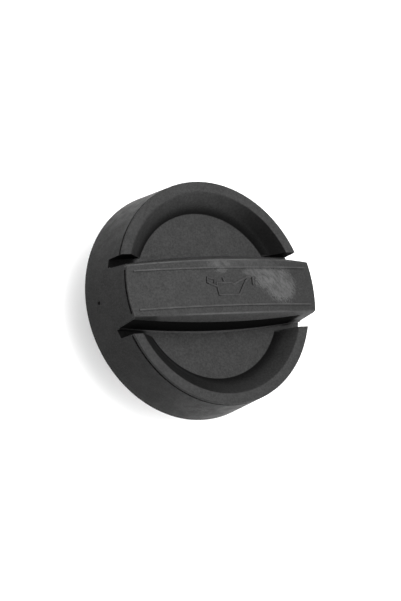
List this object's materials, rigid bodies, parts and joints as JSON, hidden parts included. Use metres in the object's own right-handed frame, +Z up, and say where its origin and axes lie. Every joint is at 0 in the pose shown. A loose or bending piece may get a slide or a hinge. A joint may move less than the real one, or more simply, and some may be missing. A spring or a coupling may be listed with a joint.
{
  "type": "oil filler cap",
  "caption": "Round moulded cap with a crowned grip bar between two finger pockets, a tapered skirt, and a bayonet neck with a rubber seal that closes an engine's oil filler opening.",
  "frame": {"origin": "centre of the neck's end face, which the cap stands on", "axes": "+Z up along the cap's axis towards the grip bar, +X along the grip bar"},
  "size_m": [0.068, 0.068, 0.0369],
  "materials": {
    "cap_plastic": "fine-grained matte moulding, scuffed on the bar",
    "seal_rubber": "smooth dull rubber"
  },
  "bodies": {
    "root": {"cap_body": "cap_plastic", "seal_ring": "seal_rubber"}
  },
  "joints": []
}
